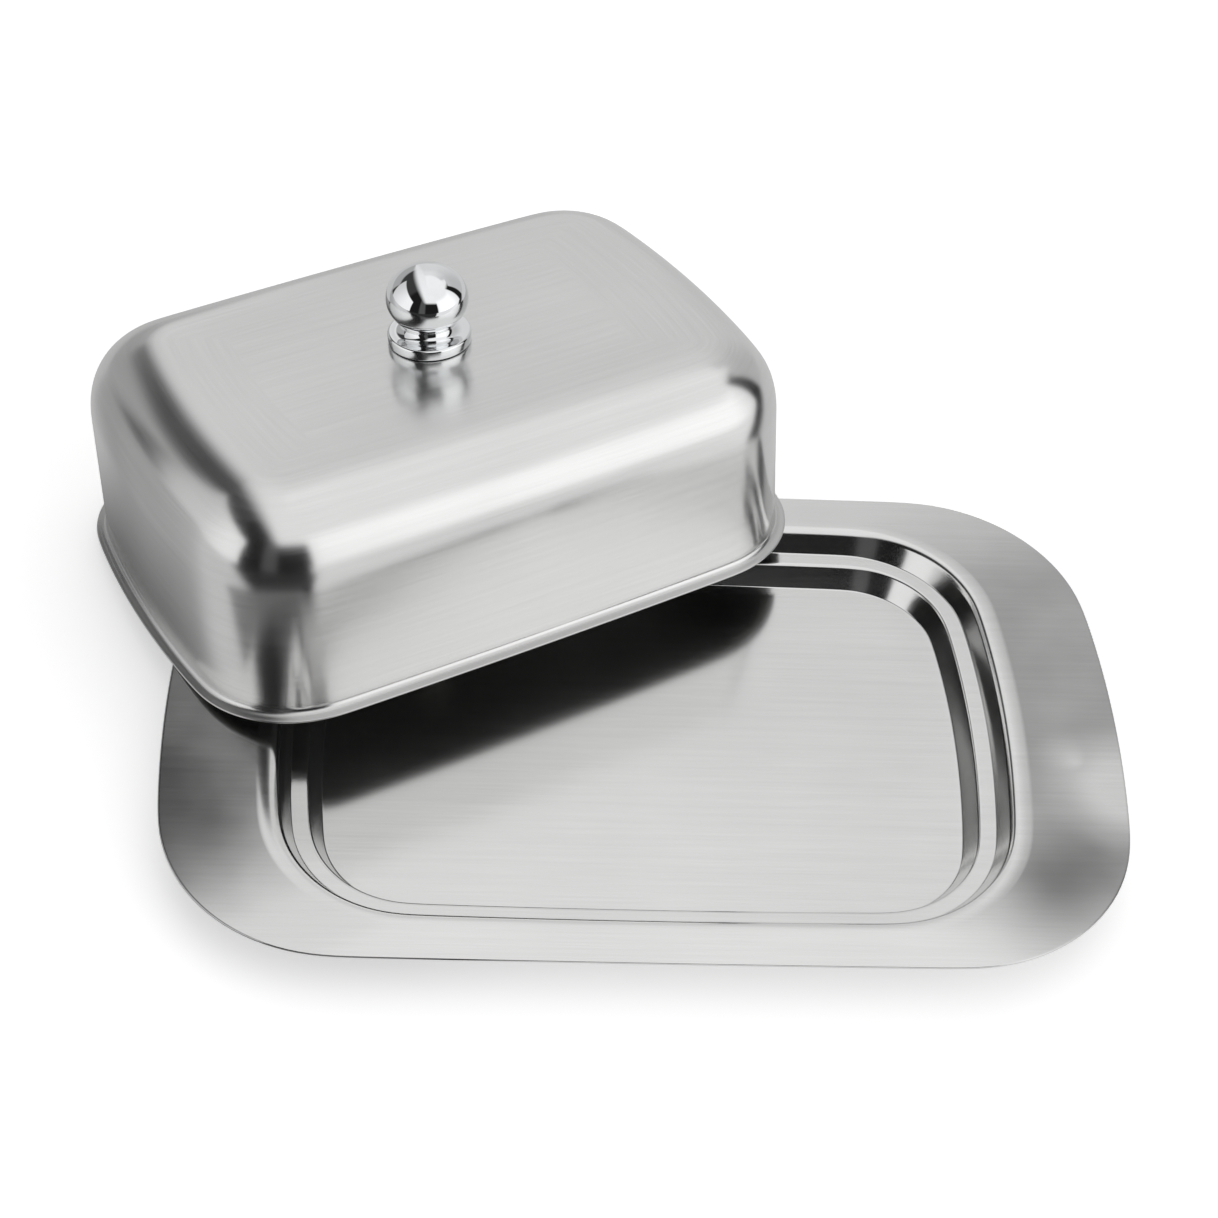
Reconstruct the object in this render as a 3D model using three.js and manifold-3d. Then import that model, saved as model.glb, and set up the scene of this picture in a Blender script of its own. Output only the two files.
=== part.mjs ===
// Stainless-steel butter dish: a stepped serving tray and a loose domed cover with a ball knob.
// Millimetres, +Z up. The origin is the middle of the tray's underside, on the table; +X runs
// along the tray's long side. The cover is stored as it lies when set aside: turned and leaning,
// its front lip on the tray's rim and its back lip on the table.
import * as THREE from "three";
import { mergeVertices } from "three/addons/utils/BufferGeometryUtils.js";
import Module from "manifold-3d";

const wasm = await Module();
wasm.setup();

// ---- Sheet and clearances ----
const SHEET = 0.5;
const STACK_GAP = 0.3; // between pieces that bear on each other

// ---- Tray ----
const WELL_DEPTH = 9.6; // rim face above the well's floor
const LEDGE_DEPTH = 4.8; // rim face above the ledge that carries the cover
const TRAY_OUTLINE = { a: 97, b: 63.6, longR: 8000, shortR: 282, cornerR: 36.6 };
const SEAT_CLEARANCE = 0.9; // round the cover's lip when it stands on the ledge
const RIM_BREAK = 3.9; // where the rim begins to widen to the tray's own outline
const MOUTH_OUTSET = 2.6; // the well's mouth, outside the ledge's outer edge
const LEDGE_WIDTH = 3.4;
const FLOOR_INSET = 6; // the floor's edge, inside the ledge's outer edge
const STEP_BEND_R = 0.8; // bends of the two steps
const MOUTH_BEND_R = 2.2;

// ---- Cover ----
const LIP_OUTLINE = { a: 70.7, b: 50.3, longR: 2400, shortR: 240, cornerR: 24 };
const LIP_WIDTH = 2.6;
const LIP_RISE = 0.3; // the lip's edge hangs this far below its root
const LIP_BEND_R = 2;
const COVER_HEIGHT = 46.4;
const WALL_DRAFT = 1.2; // degrees
const CROWN_R = 17.5; // between the walls and the flat top

// ---- Where the cover lies ----
const COVER_AT = new THREE.Vector3(-43.6, 57.3, 7.35);
const COVER_TURN = { pitch: -7.7, roll: 0.6, yaw: 28.2 }; // degrees

// ---- Knob ----
const BALL = { r: 8.6, halfHeight: 7, centre: 10.2 }; // heights above the cover's top
const FLANGE = { r: 8.75, height: 2.5, edge: 0.35 };
const NECK = { r: 5, flareR: 7.4, top: 4.5 };

// ---- Knob's fixing ----
const THREAD_R = 2;
const THREAD_CLEARANCE = 0.3;
const THREAD_DEPTH = 8.5;
const WASHER = { innerR: 2.3, outerR: 5, height: 0.8 };
const SCREW = { headR: 3.8, headHeight: 2.4, headEdge: 0.8, slot: 1, length: 8.6 };

// ---- Facets ----
const CORNER_STEPS = 8;
const SIDE_STEPS = 3;
const BEND_STEPS = 3;
const CROWN_STEPS = 8;
const FLARE_STEPS = 4;
const BALL_STEPS = 14;
const ROUND_STEPS = 40;
const WELD = 1e-4;

const STEEL = { color: 0xb9bab8, roughness: 0.32, metalness: 1 };
const CHROME = { color: 0xd4d7d8, roughness: 0.06, metalness: 1 };
const FIXING_STEEL = { color: 0xa6a7a4, roughness: 0.4, metalness: 1 };

const radians = THREE.MathUtils.degToRad;

// ---------------------------------------------------------------- outlines

// The same outline, drawn out by `by` on every side.
function grown(outline, by) {
  return Object.fromEntries(Object.entries(outline).map(([key, size]) => [key, size + by]));
}

// The centre of a corner's arc, tangent to the long side's arc and the short side's arc.
function cornerCentre({ a, b, longR, shortR, cornerR }) {
  const fromLong = longR - cornerR;
  const fromShort = shortR - cornerR;
  const longCentre = new THREE.Vector2(0, b - longR);
  const shortCentre = new THREE.Vector2(a - shortR, 0);
  const span = shortCentre.clone().sub(longCentre);
  const length = span.length();
  const along = (length ** 2 + fromLong ** 2 - fromShort ** 2) / (2 * length);
  const aside = Math.sqrt(fromLong ** 2 - along ** 2);
  const unit = span.divideScalar(length);
  const across = new THREE.Vector2(unit.y, -unit.x);
  return longCentre.addScaledVector(unit, along).addScaledVector(across, aside);
}

function arcPoints(centreX, centreY, r, from, to, steps) {
  return new THREE.EllipseCurve(centreX, centreY, r, r, from, to).getPoints(steps);
}

// One quarter of a bowed, round-cornered rectangle, from the +X axis to just before the +Y axis.
function quarterLoop(outline) {
  const { a, b, longR, shortR, cornerR } = outline;
  const corner = cornerCentre(outline);
  const shortAngle = Math.atan2(corner.y, corner.x - (a - shortR));
  const longAngle = Math.atan2(corner.y - (b - longR), corner.x);
  const runs = [
    arcPoints(a - shortR, 0, shortR, 0, shortAngle, SIDE_STEPS),
    arcPoints(corner.x, corner.y, cornerR, shortAngle, longAngle, CORNER_STEPS),
    arcPoints(0, b - longR, longR, longAngle, Math.PI / 2, SIDE_STEPS),
  ];
  return runs.flatMap((run) => run.slice(0, -1));
}

// The whole loop, anticlockwise, as points in the plane.
function loopOf(outline) {
  const quarter = quarterLoop(outline);
  const mirrored = quarter.slice(1).reverse().map((p) => new THREE.Vector2(-p.x, p.y));
  const half = [...quarter, new THREE.Vector2(0, outline.b), ...mirrored];
  return [...half, ...half.map((p) => p.clone().negate())];
}

// A loop part of the way from one outline's loop to another's.
function blendedLoop(inner, outer, share) {
  const outerLoop = loopOf(outer);
  return loopOf(inner).map((p, i) => p.lerp(outerLoop[i], share));
}

// ---------------------------------------------------------------- profiles

// A bend of radius r at a corner between two straight runs.
function bendPoints(corner, before, after, r, steps) {
  const back = before.clone().sub(corner).normalize();
  const on = after.clone().sub(corner).normalize();
  const half = Math.acos(back.dot(on)) / 2;
  const middle = back.clone().add(on).normalize();
  const centre = corner.clone().addScaledVector(middle, r / Math.sin(half));
  const start = corner.clone().addScaledVector(back, r / Math.tan(half)).sub(centre);
  const end = corner.clone().addScaledVector(on, r / Math.tan(half)).sub(centre);
  const clockwise = start.cross(end) < 0;
  const arc = new THREE.EllipseCurve(
    centre.x, centre.y, r, r, start.angle(), end.angle(), clockwise,
  );
  return arc.getPoints(steps);
}

// Straight runs through `corners` ({ u, z, r, steps }), with a bend wherever a corner has an r.
function bentLine(corners) {
  const at = corners.map(({ u, z }) => new THREE.Vector2(u, z));
  return corners.flatMap(({ r, steps }, i) =>
    r ? bendPoints(at[i], at[i - 1], at[i + 1], r, steps ?? BEND_STEPS) : [at[i]],
  );
}

// The line moved sideways by `by`, to the left of the way it runs.
function offsetLine(line, by) {
  const run = (i) => line[i + 1].clone().sub(line[i]).normalize();
  return line.map((p, i) => {
    const back = run(Math.max(i - 1, 0));
    const on = run(Math.min(i, line.length - 2));
    const left = new THREE.Vector2(-back.y - on.y, back.x + on.x).normalize();
    return p.clone().addScaledVector(left, by / Math.sqrt((1 + back.dot(on)) / 2));
  });
}

// ---------------------------------------------------------------- solids

// A closed skin through a stack of loops ({ loop, z }), with the first and last loops filled in
// to a point on the axis. Every loop has the same number of points.
function skinGeometry(levels) {
  const count = levels[0].loop.length;
  const lastRing = 1 + (levels.length - 1) * count;
  const endPoint = lastRing + count;
  const positions = [0, 0, levels[0].z];
  levels.forEach(({ loop, z }) => loop.forEach((p) => positions.push(p.x, p.y, z)));
  positions.push(0, 0, levels[levels.length - 1].z);
  const index = [];
  for (let i = 0; i < count; i++) {
    const next = (i + 1) % count;
    index.push(0, 1 + i, 1 + next);
    for (let ring = 1; ring < lastRing; ring += count) {
      const outer = ring + count;
      index.push(ring + i, outer + i, outer + next);
      index.push(ring + i, outer + next, ring + next);
    }
    index.push(lastRing + i, endPoint, lastRing + next);
  }
  return new THREE.BufferGeometry()
    .setAttribute("position", new THREE.Float32BufferAttribute(positions, 3))
    .setIndex(index);
}

// A pressed sheet. `line` is the middle of the sheet from the centre outwards, as offsets and
// heights, and `loopAt` gives the loop of an offset. The skin runs out along the top face, over
// the edge and back along the underside.
function sheetGeometry(line, loopAt) {
  const top = offsetLine(line, SHEET / 2);
  const under = offsetLine(line, -SHEET / 2).reverse();
  return skinGeometry([...top, ...under].map((p) => ({ loop: loopAt(p.x), z: p.y })));
}

// A profile of [radius, height] points turned about +Z.
function turnedGeometry(profile) {
  const points = profile.map(([r, z]) => new THREE.Vector2(r, z));
  return new THREE.LatheGeometry(points, ROUND_STEPS).rotateX(Math.PI / 2);
}

// A three.js geometry as a manifold-3d solid, its seams welded.
function solidOf(geometry) {
  const bare = new THREE.BufferGeometry()
    .setAttribute("position", geometry.getAttribute("position"))
    .setIndex(geometry.index);
  const welded = mergeVertices(bare, WELD);
  const vertProperties = welded.getAttribute("position").array;
  return new wasm.Manifold(
    new wasm.Mesh({ numProp: 3, vertProperties, triVerts: new Uint32Array(welded.index.array) }),
  );
}

// A manifold-3d solid as a three.js geometry.
function geometryOf(solid) {
  const { vertProperties, numProp, triVerts } = solid.getMesh();
  return new THREE.BufferGeometry()
    .setAttribute("position", new THREE.BufferAttribute(vertProperties, numProp))
    .setIndex(new THREE.BufferAttribute(triVerts, 1));
}

function namedMesh(name, geometry, look) {
  const mesh = new THREE.Mesh(geometry.toNonIndexed(), new THREE.MeshStandardMaterial(look));
  mesh.geometry.computeVertexNormals();
  mesh.name = name;
  return mesh;
}

// ---------------------------------------------------------------- tray

// Offsets run from the ledge's outer edge. Inside the well's mouth the loops are parallel to it;
// across the rim they change over to the tray's own outline.
function trayGeometry() {
  const seat = grown(LIP_OUTLINE, SEAT_CLEARANCE);
  const mouth = grown(seat, RIM_BREAK);
  const rimWidth = TRAY_OUTLINE.a - mouth.a;
  const loopAt = (u) =>
    u < RIM_BREAK
      ? loopOf(grown(seat, u))
      : blendedLoop(mouth, TRAY_OUTLINE, (u - RIM_BREAK) / rimWidth);
  const floorZ = SHEET / 2;
  const rimZ = floorZ + WELL_DEPTH;
  const ledgeZ = rimZ - LEDGE_DEPTH;
  const line = bentLine([
    { u: -FLOOR_INSET - 2 * STEP_BEND_R, z: floorZ },
    { u: -FLOOR_INSET, z: floorZ, r: STEP_BEND_R },
    { u: -LEDGE_WIDTH, z: ledgeZ, r: STEP_BEND_R },
    { u: 0, z: ledgeZ, r: STEP_BEND_R },
    { u: MOUTH_OUTSET, z: rimZ, r: MOUTH_BEND_R },
    { u: RIM_BREAK + rimWidth, z: rimZ },
  ]);
  return sheetGeometry(line, loopAt);
}

// ---------------------------------------------------------------- cover

// A deep drawn dome with an outward lip, and the hole for the knob's screw.
function coverGeometry() {
  const topZ = COVER_HEIGHT - SHEET / 2;
  const rootZ = LIP_RISE + SHEET / 2;
  const wallIn = Math.tan(radians(WALL_DRAFT)) * (topZ - rootZ);
  const flatFrom = -LIP_WIDTH - wallIn - CROWN_R;
  const line = bentLine([
    { u: flatFrom - 1, z: topZ },
    { u: -LIP_WIDTH - wallIn, z: topZ, r: CROWN_R, steps: CROWN_STEPS },
    { u: -LIP_WIDTH, z: rootZ, r: LIP_BEND_R },
    { u: 0, z: SHEET / 2 },
  ]);
  const dome = sheetGeometry(line, (u) => loopOf(grown(LIP_OUTLINE, u)));
  const holeR = THREAD_R + THREAD_CLEARANCE;
  const hole = new THREE.CylinderGeometry(holeR, holeR, COVER_HEIGHT, ROUND_STEPS)
    .rotateX(Math.PI / 2)
    .translate(0, 0, COVER_HEIGHT);
  return geometryOf(solidOf(dome).subtract(solidOf(hole)));
}

// ---------------------------------------------------------------- knob and its fixing

// A flange, a waisted neck and a flattened ball, with a blind threaded hole from below.
function knobGeometry() {
  const base = COVER_HEIGHT + STACK_GAP;
  const flangeTop = COVER_HEIGHT + FLANGE.height;
  const holeR = THREAD_R + THREAD_CLEARANCE;
  const neckAngle = Math.asin(NECK.r / BALL.r) - Math.PI / 2;
  const ball = new THREE.EllipseCurve(
    0, COVER_HEIGHT + BALL.centre, BALL.r, BALL.halfHeight, neckAngle, Math.PI / 2,
  );
  const flare = new THREE.EllipseCurve(
    NECK.flareR, COVER_HEIGHT + NECK.top,
    NECK.flareR - NECK.r, NECK.top - FLANGE.height,
    -Math.PI / 2, -Math.PI, true,
  );
  const crown = ball.getPoints(BALL_STEPS).slice(0, -1);
  return turnedGeometry([
    [0, base + THREAD_DEPTH],
    [holeR, base + THREAD_DEPTH],
    [holeR, base],
    [FLANGE.r, base],
    [FLANGE.r, flangeTop - FLANGE.edge],
    [FLANGE.r - FLANGE.edge, flangeTop],
    ...flare.getPoints(FLARE_STEPS).map((p) => p.toArray()),
    ...crown.map((p) => p.toArray()),
    [0, COVER_HEIGHT + BALL.centre + BALL.halfHeight],
  ]);
}

function washerGeometry() {
  const top = COVER_HEIGHT - SHEET - STACK_GAP;
  const { innerR, outerR, height } = WASHER;
  return turnedGeometry([
    [innerR, top - height],
    [outerR, top - height],
    [outerR, top],
    [innerR, top],
    [innerR, top - height],
  ]);
}

// A slotted screw from inside the cover, through the washer and the sheet, into the knob.
function screwGeometry() {
  const headTop = COVER_HEIGHT - SHEET - WASHER.height - 2 * STACK_GAP;
  const headBottom = headTop - SCREW.headHeight;
  const tip = headTop + SCREW.length;
  const turned = turnedGeometry([
    [0, headBottom],
    [SCREW.headR - SCREW.headEdge, headBottom],
    [SCREW.headR, headBottom + SCREW.headEdge],
    [SCREW.headR, headTop],
    [THREAD_R, headTop],
    [THREAD_R, tip],
    [0, tip],
  ]);
  const slot = new THREE.BoxGeometry(4 * SCREW.headR, SCREW.slot, 2 * SCREW.slot)
    .translate(0, 0, headBottom);
  return geometryOf(solidOf(turned).subtract(solidOf(slot)));
}

// ---------------------------------------------------------------- assembly

const cover = new THREE.Group();
cover.position.copy(COVER_AT);
cover.rotation.set(
  radians(COVER_TURN.pitch), radians(COVER_TURN.roll), radians(COVER_TURN.yaw), "ZXY",
);
cover.add(
  namedMesh("cover_dome", coverGeometry(), STEEL),
  namedMesh("knob", knobGeometry(), CHROME),
  namedMesh("knob_washer", washerGeometry(), FIXING_STEEL),
  namedMesh("knob_screw", screwGeometry(), FIXING_STEEL),
);

const butterDish = new THREE.Group();
butterDish.add(namedMesh("tray", trayGeometry(), STEEL), cover);

export default butterDish;
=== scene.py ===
"""Stainless-steel butter dish: a stepped, pressed tray and a domed cover with a ball knob.

Metres, in the row frame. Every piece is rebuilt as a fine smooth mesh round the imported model:
the two pressed sheets are swept along bowed, round-cornered outlines, the knob and its fixing
are turned. The cover lies as it was set aside, its front lip on the tray's rim.
"""

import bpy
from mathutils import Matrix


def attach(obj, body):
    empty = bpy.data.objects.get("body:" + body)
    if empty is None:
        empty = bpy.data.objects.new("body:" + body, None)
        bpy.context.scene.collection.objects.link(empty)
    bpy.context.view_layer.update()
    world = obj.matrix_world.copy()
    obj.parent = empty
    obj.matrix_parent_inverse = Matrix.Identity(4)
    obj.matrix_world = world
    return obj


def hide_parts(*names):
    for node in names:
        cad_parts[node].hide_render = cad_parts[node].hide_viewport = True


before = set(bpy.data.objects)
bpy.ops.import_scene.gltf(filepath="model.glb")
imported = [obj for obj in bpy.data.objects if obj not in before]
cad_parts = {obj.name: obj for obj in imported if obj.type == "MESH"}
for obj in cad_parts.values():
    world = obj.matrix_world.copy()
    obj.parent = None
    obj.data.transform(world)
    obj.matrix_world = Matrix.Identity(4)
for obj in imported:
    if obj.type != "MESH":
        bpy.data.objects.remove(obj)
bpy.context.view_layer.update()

import math
from types import SimpleNamespace

import bmesh
import bpy
from mathutils import Matrix, Vector

MM = 0.001
DEGREES = 180 / math.pi

# ---- Sheet and clearances, mm ----
SHEET = 0.5
STACK_GAP = 0.15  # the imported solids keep 0.3; these fine surfaces sit closer together
WELD = 0.0001  # points this close are one

# ---- Tray, mm ----
WELL_DEPTH = 9.6
LEDGE_DEPTH = 4.8
TRAY_OUTLINE = dict(a=97, b=63.6, long_r=8000, short_r=282, corner_r=36.6)
SEAT_CLEARANCE = 0.9
RIM_BREAK = 3.9
MOUTH_OUTSET = 2.6
LEDGE_WIDTH = 3.4
FLOOR_INSET = 6
STEP_BEND_R = 0.8
MOUTH_BEND_R = 2.2

# ---- Cover, mm and degrees ----
LIP_OUTLINE = dict(a=70.7, b=50.3, long_r=2400, short_r=240, corner_r=24)
LIP_WIDTH = 2.6
LIP_RISE = 0.3
LIP_BEND_R = 2.0
COVER_HEIGHT = 46.4
WALL_DRAFT = 1.2
CROWN_R = 17.5
COVER_AT = (-43.6, 57.3, 7.2)
COVER_PITCH, COVER_ROLL, COVER_YAW = -7.7, 0.6, 28.2

# ---- Knob and its fixing, mm ----
BALL_R, BALL_HALF_HEIGHT, BALL_CENTRE = 8.6, 7.0, 10.2
FLANGE_R, FLANGE_HEIGHT, FLANGE_EDGE, FLANGE_TOP_EDGE = 8.75, 2.5, 0.35, 0.525
NECK_R, NECK_FLARE_R, NECK_TOP = 5.0, 7.4, 4.5
THREAD_R, THREAD_CLEARANCE, THREAD_DEPTH = 2.0, 0.2, 8.5
THREAD_PITCH, THREAD_CUT = 0.7, 0.3
WASHER_INNER_R, WASHER_OUTER_R, WASHER_HEIGHT, WASHER_EDGE = 2.3, 5.0, 0.8, 0.15
SCREW_HEAD_R, SCREW_HEAD_HEIGHT, SCREW_SLOT, SCREW_LENGTH = 3.8, 2.4, 1.0, 8.6
SCREW_LOW_EDGE, SCREW_TOP_EDGE = 0.7, 0.15

# ---- Mesh fineness ----
SHORT_STEPS, CORNER_STEPS, LONG_STEPS = 12, 24, 22
OUTLINE_EASE = 5  # smoothing passes where a side runs into a corner
BEND_STEPS, CROWN_STEPS, EDGE_STEPS = 8, 36, 6
PATH_STEPS = 4  # finer steps, for each step of a bend, in which its path is summed
BEND_EVEN = 0.35  # the share of an eased bend's turn that is spread evenly
RUN_STEP = 2.5  # mm between rings on a straight run
FLAT_MARGIN = 2.0  # mm of flat middle before the first bend
MIDDLE_R = 2.0  # mm across which the last small faces close a flat middle
FILL_RINGS, COVER_ROUND_RINGS = 14, 3  # across a flat middle, and those brushed round it
FLARE_STEPS, BALL_STEPS, TURNED_BEND_STEPS, TURN_STEPS = 14, 44, 5, 128
TURNED_BRUSH_R = 8.0  # mm at which a turned piece's brush coordinates are to scale

# ---- The tray's uneven rim, painted shade on it and on the cover's lip, and the darker underside ----
RIM_FADE = 1.6  # mm over which the rim's mark grows
RIM_LEAN = (0.20, 0.06)  # slope of its outward fall, along X and along Y
WAVE_SCALE, WAVE_TURN = 45.0, 0.1
LEFT_WAVE, RIGHT_WAVE = 0.05, 0.14
# Painted shade: the rim's colour darkened towards near-black at its left and right ends, across a
# fade and with waves.
LEFT_RIM_SHADE, RIGHT_RIM_SHADE, RIM_SHADE_FADE, RIM_SHADE_WAVE = 0.07, 0.28, (0.6, 0.95), 0.3
# Spots: middle, radius and softness in metres, and for a dark one its strength.
# Flat spots take off the rim's lean and its painted shade; dark spots add more painted shade.
FLAT_SPOTS = (((0.096, -0.019), 0.012, 0.007), ((0.087, -0.012), 0.004, 0.006))
DARK_SPOTS = (((0.079, -0.046), 0.009, 0.009, 0.46), ((0.089, -0.034), 0.008, 0.009, 0.20))
# The painted shade's near-black; the darker grey of the underside and of the painted shade on the
# cover's lip; and the added roughness there.
RIM_SHADE_GREY, DARKER_GREY, DULL_ROUGHNESS = (0.02, 0.02, 0.02, 1), (0.36, 0.36, 0.355, 1), 0.22
# Painted shade on the top of the cover's lip: its strength, from how many mm outside its root, grown
# over how many.
LIP_PAINTED_SHADE, LIP_PAINTED_SHADE_INSET, LIP_PAINTED_SHADE_FADE = 0.4, 0.3, 0.8

# ---- Steel and chrome ----
STEEL, CHROME, PLAIN = (0.77, 0.77, 0.765), (0.90, 0.91, 0.92), (0.62, 0.61, 0.59)
TRAY_ROUGHNESS, COVER_ROUGHNESS, GLOSS_SPREAD, ANISOTROPY = 0.16, 0.20, 0.03, 0.5
BRUSH_LINES, BRUSH_BANDS = (3600, 45, 1), (700, 9, 1)  # to the metre, across and along
CLOUD_SCALE = 22.0
LINE_SHARE, BAND_SHARE, CLOUD_SHARE = 0.45, 0.3, 0.55
BRUSH_RANGE, BRUSH_TINTS, BRUSH_RELIEF = (0.45, 0.85), (0.93, 1.05), 0.0000009

# ---- Camera: degrees and mm ----
CAMERA_AZIMUTH, CAMERA_ELEVATION, CAMERA_ROLL = -3.64, 45.8, 4.07
CAMERA_DISTANCE, CAMERA_TARGET = 506.09, (-6.95, 27.72, WELL_DEPTH + SHEET)
LENS, SENSOR = 70.4793, 36.0

# ---- Studio: metres, degrees, and levels of light ----
# Azimuth is nought on the camera's side and grows towards +X. A pair is a soft edge, from and
# to, and "levels" are reached at the two ends of "fade". The overhead and left-hand panels are
# flat: their edges are slopes, so far along for each unit up, or for each unit to the left.
FLOOR_SIZE, FLOOR_GREY, FLOOR_GLOW, FLOOR_ROUGHNESS = 6, 0.94, 0.50, 0.9
BACKDROP_R, BACKDROP_GLOW = 8, 1.0
GLOW_DROP = 0.0002  # the table's glow below the floor
MIN_SLOPE = 0.02
ROOM = SimpleNamespace(level=0.012, left_level=0.045, left=(-80.0, -60.0))
FRONT_STRIP = SimpleNamespace(span=(-20.0, -4.0), edge=6.0, level=0.09)
LOW_BACK_LEFT = SimpleNamespace(side=(-124.0, -120.0), top=(20.0, 26.0), level=0.40)
LEFT_PANEL = SimpleNamespace(
    near=(-1.04, -0.96), far=(0.34, 0.42), far_slant=0.5, top=(0.9, 1.0),
    fade=(-0.6, 0.6), levels=(1.0, 0.66),
)
OVERHEAD_PANEL = SimpleNamespace(
    left=(-0.50, -0.20), left_slant=0.2, right=(0.70, 0.95), front=(-1.45, -1.0),
    fade=(-0.4, 2.2), levels=(0.94, 0.80),
)
BACK = SimpleNamespace(
    right=(115.0, 119.0), full_height=(136.0, 146.0), low_top=(42.0, 46.0),
    left=(-172.0, -166.0), fade=(135.0, 178.0), levels=(0.60, 0.82),
    low_fade=(28.0, 44.0), low_levels=(0.87, 0.97),
    high_fade=(46.0, 57.0), high_levels=(1.0, 1.22),
)
RIGHT_PANEL = SimpleNamespace(
    span=(32.0, 101.0), edge=4.0, middle=60.0, fade=(5.0, 45.0), levels=(1.25, 0.9),
    high_fade=(30.0, 50.0), high_levels=(1.25, 0.93),
)
HIGH_RIGHT = SimpleNamespace(span=(95.0, 175.0), edge=16.0, bottom=(50.0, 56.0), level=0.95)

# What the metal sees of the table, round a middle and, at one side, round a second place.
TABLE = SimpleNamespace(level=0.03, middle=(-0.030, -0.010), corner=(-0.078, -0.009))
TABLE_LEFT = SimpleNamespace(
    span=(-125.0, -52.0), edge=14.0, fade=(-115.0, -88.0), levels=(0.40, 0.64)
)
TABLE_BACK_LEFT = SimpleNamespace(side=(-118.0, -132.0), level=0.55)
TABLE_FRONT = SimpleNamespace(
    middle=(-0.067, -0.032), reach=(0.077, 0.083), span=(-76.0, 60.0), edge=6.0,
    right=(25.0, 31.0), level=0.20,
)
TABLE_RIGHT = SimpleNamespace(
    span=(28.0, 99.0), corner_span=(37.0, 99.0), edge=6.0, fade=(55.0, 90.0), levels=(0.82, 0.92)
)
TABLE_BACK_RIGHT = SimpleNamespace(side=(112.0, 122.0), level=0.62)
UNDER_COVER = SimpleNamespace(reach=(0.058, 0.100), level=0.02)


# ------------------------------------------------------------------ outlines


def grown(outline, by):
    return {key: size + by for key, size in outline.items()}


def corner_centre(a, b, long_r, short_r, corner_r):
    """The centre of a corner's arc, tangent to the long side's arc and the short side's arc."""
    from_long, from_short = long_r - corner_r, short_r - corner_r
    long_centre, short_centre = Vector((0, b - long_r)), Vector((a - short_r, 0))
    span = short_centre - long_centre
    length = span.length
    along = (length**2 + from_long**2 - from_short**2) / (2 * length)
    aside = math.sqrt(from_long**2 - along**2)
    unit = span / length
    return long_centre + unit * along + Vector((unit.y, -unit.x)) * aside


def arc(cx, cy, r, start, end, steps):
    """Points on an arc, without its last one."""
    angles = [start + (end - start) * i / steps for i in range(steps)]
    return [Vector((cx + r * math.cos(t), cy + r * math.sin(t))) for t in angles]


def loop_of(outline):
    """A bowed, round-cornered rectangle, anticlockwise from the +X axis, slightly eased."""
    a, b = outline["a"], outline["b"]
    long_r, short_r = outline["long_r"], outline["short_r"]
    c = corner_centre(**outline)
    short_angle = math.atan2(c.y, c.x - (a - short_r))
    long_angle = math.atan2(c.y - (b - long_r), c.x)
    quarter = (
        arc(a - short_r, 0, short_r, 0, short_angle, SHORT_STEPS)
        + arc(c.x, c.y, outline["corner_r"], short_angle, long_angle, CORNER_STEPS)
        + arc(0, b - long_r, long_r, long_angle, math.pi / 2, LONG_STEPS)
    )
    mirrored = [Vector((-p.x, p.y)) for p in reversed(quarter[1:])]
    half = quarter + [Vector((0, b))] + mirrored
    loop = half + [-p for p in half]
    for _ in range(OUTLINE_EASE):
        loop = [
            (loop[i - 1] + 2 * p + loop[(i + 1) % len(loop)]) / 4 for i, p in enumerate(loop)
        ]
    return loop


def normals_of(loop):
    """The outward normal at each point of a loop."""
    out = []
    for i in range(len(loop)):
        along = loop[(i + 1) % len(loop)] - loop[i - 1]
        out.append(Vector((along.y, -along.x)).normalized())
    return out


# ------------------------------------------------------------------ profiles


def eased_turn(share):
    """How much of a bend's turn is made after that share of its length: gentle at both ends."""
    smooth = share * share * (3 - 2 * share)
    return BEND_EVEN * share + (1 - BEND_EVEN) * smooth


def bend_points(corner, before, after, r, steps, eased):
    """A bend at a corner between two straight runs, as (point, left normal)."""
    back, on = (before - corner).normalized(), (after - corner).normalized()
    start_angle = math.atan2(-back.y, -back.x)
    turn = math.atan2(-back.x * on.y + back.y * on.x, -back.dot(on))
    ease = eased_turn if eased else (lambda share: share)
    fine = steps * PATH_STEPS
    points, p = [Vector((0, 0))], Vector((0, 0))
    for i in range(fine):
        t = start_angle + turn * ease((i + 0.5) / fine)
        p = p + Vector((math.cos(t), math.sin(t))) / fine
        points.append(p.copy())
    reach = p.length / (2 * math.cos(turn / 2))
    length = r * math.tan(abs(turn) / 2) / reach
    first = corner + back * (length * reach)
    out = []
    for i in range(0, fine + 1, PATH_STEPS):
        t = start_angle + turn * ease(i / fine)
        out.append((first + points[i] * length, Vector((-math.sin(t), math.cos(t)))))
    return out


def bent_line(corners):
    """Straight runs through corners (u, z, r, steps, eased), with a bend where a corner has an r."""
    at = [Vector(c[:2]) for c in corners]
    line = []
    for i, (u, z, r, steps, eased) in enumerate(corners):
        if r:
            made = bend_points(at[i], at[i - 1], at[i + 1], r, steps, eased)
        else:
            d = (at[1] - at[0]) if i == 0 else (at[i] - at[i - 1])
            d.normalize()
            made = [(at[i], Vector((-d.y, d.x)))]
        if line:
            gap = made[0][0] - line[-1][0]
            normal = Vector((-gap.y, gap.x)).normalized()
            pieces = max(1, round(gap.length / RUN_STEP))
            start = line[-1][0].copy()
            line += [(start + gap * k / pieces, normal) for k in range(1, pieces)]
        line += made
    return line


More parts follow.
